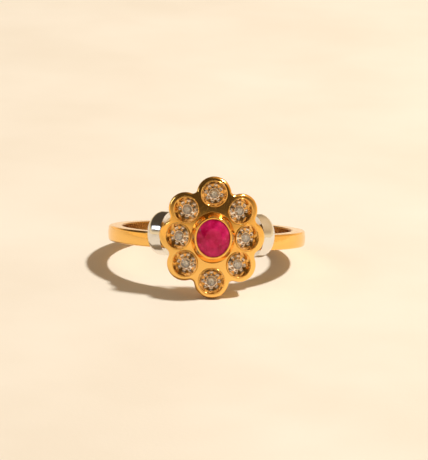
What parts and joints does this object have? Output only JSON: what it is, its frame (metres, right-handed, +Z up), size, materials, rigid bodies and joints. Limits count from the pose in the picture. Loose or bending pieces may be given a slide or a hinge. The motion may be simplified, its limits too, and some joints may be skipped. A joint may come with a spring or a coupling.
{
  "type": "cocktail ring",
  "caption": "Yellow gold cluster ring: an oval red stone in a raised bezel, ringed by small diamonds in white metal star mounts, on a slim band with white metal shoulder collars.",
  "frame": {"origin": "on the table under the middle of the ring's box, as the ring lies on its side", "axes": "+Z up from the table, the stones face -Y and lean a little upwards, +Y runs from the stones to the back of the band, +X to the right seen from the stones"},
  "size_m": [0.0202, 0.0224, 0.012],
  "materials": {
    "yellow_gold": "polished",
    "white_gold": "polished",
    "ruby": "polished",
    "diamond": "polished"
  },
  "bodies": {
    "root": {"shank": "yellow_gold", "left_shoulder_collar": "white_gold", "right_shoulder_collar": "white_gold", "under_gallery": "yellow_gold", "cluster_frame": "yellow_gold", "centre_bezel": "yellow_gold", "centre_ruby": "ruby", "collet_top": "yellow_gold", "collet_upper_right": "yellow_gold", "collet_right": "yellow_gold", "collet_lower_right": "yellow_gold", "collet_bottom": "yellow_gold", "collet_lower_left": "yellow_gold", "collet_left": "yellow_gold", "collet_upper_left": "yellow_gold", "illusion_mount_top": "white_gold", "illusion_mount_upper_right": "white_gold", "illusion_mount_right": "white_gold", "illusion_mount_lower_right": "white_gold", "illusion_mount_bottom": "white_gold", "illusion_mount_lower_left": "white_gold", "illusion_mount_left": "white_gold", "illusion_mount_upper_left": "white_gold", "diamond_top": "diamond", "diamond_upper_right": "diamond", "diamond_right": "diamond", "diamond_lower_right": "diamond", "diamond_bottom": "diamond", "diamond_lower_left": "diamond", "diamond_left": "diamond", "diamond_upper_left": "diamond"}
  },
  "joints": []
}
